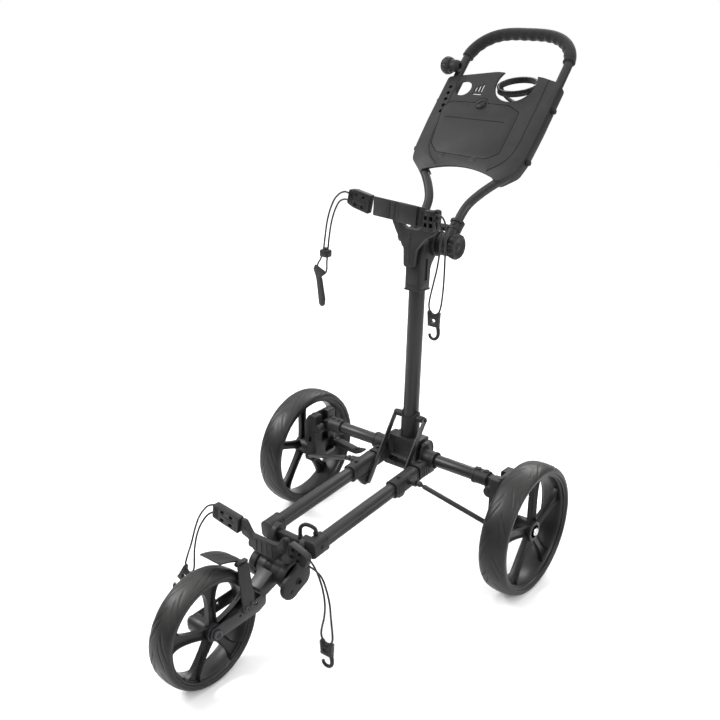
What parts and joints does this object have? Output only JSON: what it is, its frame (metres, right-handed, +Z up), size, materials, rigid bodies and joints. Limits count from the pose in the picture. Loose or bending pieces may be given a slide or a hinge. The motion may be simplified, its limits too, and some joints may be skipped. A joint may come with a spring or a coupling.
{
  "type": "golf push cart",
  "caption": "Folding golf push cart with rear wheels, a front wheel, a mast that folds forward, a tilting handle, a console with a lid and cup ring, and cradles with elastic cords.",
  "frame": {"origin": "on the floor under the middle of the cart, measured without the elastic cords and their hooks", "axes": "+Z up, -Y towards the front wheel, +Y towards the person who pushes, +X across the axle"},
  "size_m": [0.691, 1.218, 1.1435],
  "materials": {
    "painted_alloy": "satin black powder coat",
    "moulded_black": "fine-grained matt black moulding",
    "rim_plastic": "satin black moulding",
    "tyre_rubber": "satin solid tyre",
    "foam": "matt foam",
    "cable_sheath": "satin sheath",
    "buckle_plastic": "semi-gloss black",
    "webbing": "woven strap",
    "elastic_cord": "braided elastic cord",
    "steel": "dull zinc plate"
  },
  "bodies": {
    "chassis": {"central_hub": "moulded_black", "mast_pivot_pin": "steel", "rail_left": "painted_alloy", "rail_right": "painted_alloy", "axle_tube_left": "painted_alloy", "axle_tube_right": "painted_alloy", "axle_socket_left": "moulded_black", "axle_socket_right": "moulded_black", "crosshead": "moulded_black", "pivot_cover": "moulded_black", "release_cable": "cable_sheath", "lower_cradle": "moulded_black", "lower_buckle_left": "buckle_plastic", "lower_buckle_right": "buckle_plastic", "cord_lower_left": "elastic_cord", "cord_lower_right": "elastic_cord", "hook_lower_left": "buckle_plastic", "hook_lower_right": "buckle_plastic"},
    "mast": {"mast_tube": "painted_alloy", "mast_base": "moulded_black", "mast_elbow": "moulded_black", "hinge_bolt": "steel", "upper_cradle": "moulded_black", "upper_strap": "webbing", "upper_buckle_left": "buckle_plastic", "upper_buckle_right": "buckle_plastic", "cord_upper_left": "elastic_cord", "cord_upper_right": "elastic_cord", "hook_upper_right": "buckle_plastic", "cord_lock": "buckle_plastic", "pull_tab": "webbing"},
    "link_left": {"fold_link_left": "painted_alloy"},
    "collar_left": {"slide_collar_left": "moulded_black"},
    "brace_left": {"strut_left": "painted_alloy"},
    "axle_end_left": {"knuckle_left": "moulded_black", "rear_spindle_left": "steel"},
    "rear_wheel_left": {"rear_tyre_left": "tyre_rubber", "rear_rim_left": "rim_plastic"},
    "link_right": {"fold_link_right": "painted_alloy"},
    "collar_right": {"slide_collar_right": "moulded_black"},
    "brace_right": {"strut_right": "painted_alloy"},
    "axle_end_right": {"knuckle_right": "moulded_black", "rear_spindle_right": "steel"},
    "rear_wheel_right": {"rear_tyre_right": "tyre_rubber", "rear_rim_right": "rim_plastic"},
    "brake": {"brake_pedal": "moulded_black"},
    "fork": {"front_fork": "painted_alloy", "front_fender": "moulded_black", "front_spindle": "steel"},
    "front_wheel": {"front_tyre": "tyre_rubber", "front_rim": "rim_plastic"},
    "handle": {"handle_tube": "painted_alloy", "foam_grip": "foam", "handle_yoke": "moulded_black", "console": "moulded_black"},
    "knob": {"handle_knob": "moulded_black"},
    "lid": {"scorecard_lid": "moulded_black"},
    "latch": {"lid_latch": "moulded_black"},
    "cup": {"cup_ring": "moulded_black"},
    "umbrella": {"umbrella_joint": "moulded_black"}
  },
  "joints": [
    {"name": "mast_fold", "type": "hinge", "parent": "chassis", "child": "mast", "pos_m": [0, 0.15736, 0.25], "axis": [1, 0, 0], "range_deg": [0, 80]},
    {"name": "link_turn_left", "type": "hinge", "parent": "mast", "child": "link_left", "pos_m": [0.0405, 0.15813, 0.31903], "axis": [1, 0, 0], "range_deg": [-102.94, 0]},
    {"name": "collar_slide_left", "type": "slide", "parent": "chassis", "child": "collar_left", "axis": [0, -0.9977, -0.068], "range_m": [0, 0.1142]},
    {"name": "brace_swing_left", "type": "hinge", "parent": "collar_left", "child": "brace_left", "pos_m": [0.099, 0.05936, 0.219], "axis": [0.3551, -0.0231, 0.9345], "range_deg": [0, 46.3]},
    {"name": "wheel_fold_left", "type": "hinge", "parent": "chassis", "child": "axle_end_left", "pos_m": [0.243, 0.15236, 0.228], "axis": [0, 1, 0], "range_deg": [0, 65.4]},
    {"name": "rear_wheel_spin_left", "type": "hinge", "parent": "axle_end_left", "child": "rear_wheel_left", "pos_m": [0.314, 0.15236, 0.147], "axis": [1, 0, 0], "continuous": true},
    {"name": "link_turn_right", "type": "hinge", "parent": "mast", "child": "link_right", "pos_m": [-0.0405, 0.15813, 0.31903], "axis": [1, 0, 0], "range_deg": [-102.94, 0]},
    {"name": "collar_slide_right", "type": "slide", "parent": "chassis", "child": "collar_right", "axis": [0, -0.9977, -0.068], "range_m": [0, 0.1142]},
    {"name": "brace_swing_right", "type": "hinge", "parent": "collar_right", "child": "brace_right", "pos_m": [-0.099, 0.05936, 0.219], "axis": [-0.3551, -0.0231, 0.9345], "range_deg": [-46.3, 0]},
    {"name": "wheel_fold_right", "type": "hinge", "parent": "chassis", "child": "axle_end_right", "pos_m": [-0.243, 0.15236, 0.228], "axis": [0, 1, 0], "range_deg": [-65.4, 0]},
    {"name": "rear_wheel_spin_right", "type": "hinge", "parent": "axle_end_right", "child": "rear_wheel_right", "pos_m": [-0.314, 0.15236, 0.147], "axis": [1, 0, 0], "continuous": true},
    {"name": "brake_press", "type": "hinge", "parent": "axle_end_right", "child": "brake", "pos_m": [-0.235, 0.17136, 0.176], "axis": [0, 1, 0], "range_deg": [0, 18]},
    {"name": "fork_fold", "type": "hinge", "parent": "chassis", "child": "fork", "pos_m": [0, -0.29764, 0.14714], "axis": [1, 0, 0], "range_deg": [0, 150]},
    {"name": "front_wheel_spin", "type": "hinge", "parent": "fork", "child": "front_wheel", "pos_m": [0, -0.49164, 0.1174], "axis": [1, 0, 0], "continuous": true},
    {"name": "handle_fold", "type": "hinge", "parent": "mast", "child": "handle", "pos_m": [0, 0.21235, 0.71697], "axis": [1, 0, 0], "range_deg": [-125, 20]},
    {"name": "knob_turn", "type": "hinge", "parent": "handle", "child": "knob", "pos_m": [0.079, 0.21235, 0.71697], "axis": [1, 0, 0], "range_deg": [0, 180]},
    {"name": "lid_open", "type": "hinge", "parent": "handle", "child": "lid", "pos_m": [0, 0.34645, 0.88242], "axis": [1, 0, 0], "range_deg": [0, 110]},
    {"name": "latch_turn", "type": "hinge", "parent": "lid", "child": "latch", "pos_m": [-0.026, 0.43927, 0.98659], "axis": [0, -0.7331, 0.6801], "range_deg": [0, 90]},
    {"name": "cup_tilt", "type": "hinge", "parent": "handle", "child": "cup", "pos_m": [0.037, 0.49311, 1.02258], "axis": [1, 0, 0], "range_deg": [-15, 31]},
    {"name": "umbrella_tilt", "type": "hinge", "parent": "handle", "child": "umbrella", "pos_m": [-0.1435, 0.49529, 1.05875], "axis": [1, 0, 0], "range_deg": [-60, 60]}
  ],
  "couplings": [
    {"joint": "link_turn_left", "follows": "mast_fold", "ratio": -1.2805},
    {"joint": "collar_slide_left", "follows": "mast_fold", "m_per_rad": 0.081648},
    {"joint": "brace_swing_left", "follows": "mast_fold", "ratio": 0.5764},
    {"joint": "wheel_fold_left", "follows": "mast_fold", "ratio": 0.81506},
    {"joint": "link_turn_right", "follows": "mast_fold", "ratio": -1.2805},
    {"joint": "collar_slide_right", "follows": "mast_fold", "m_per_rad": 0.081648},
    {"joint": "brace_swing_right", "follows": "mast_fold", "ratio": -0.5764},
    {"joint": "wheel_fold_right", "follows": "mast_fold", "ratio": -0.81506}
  ]
}
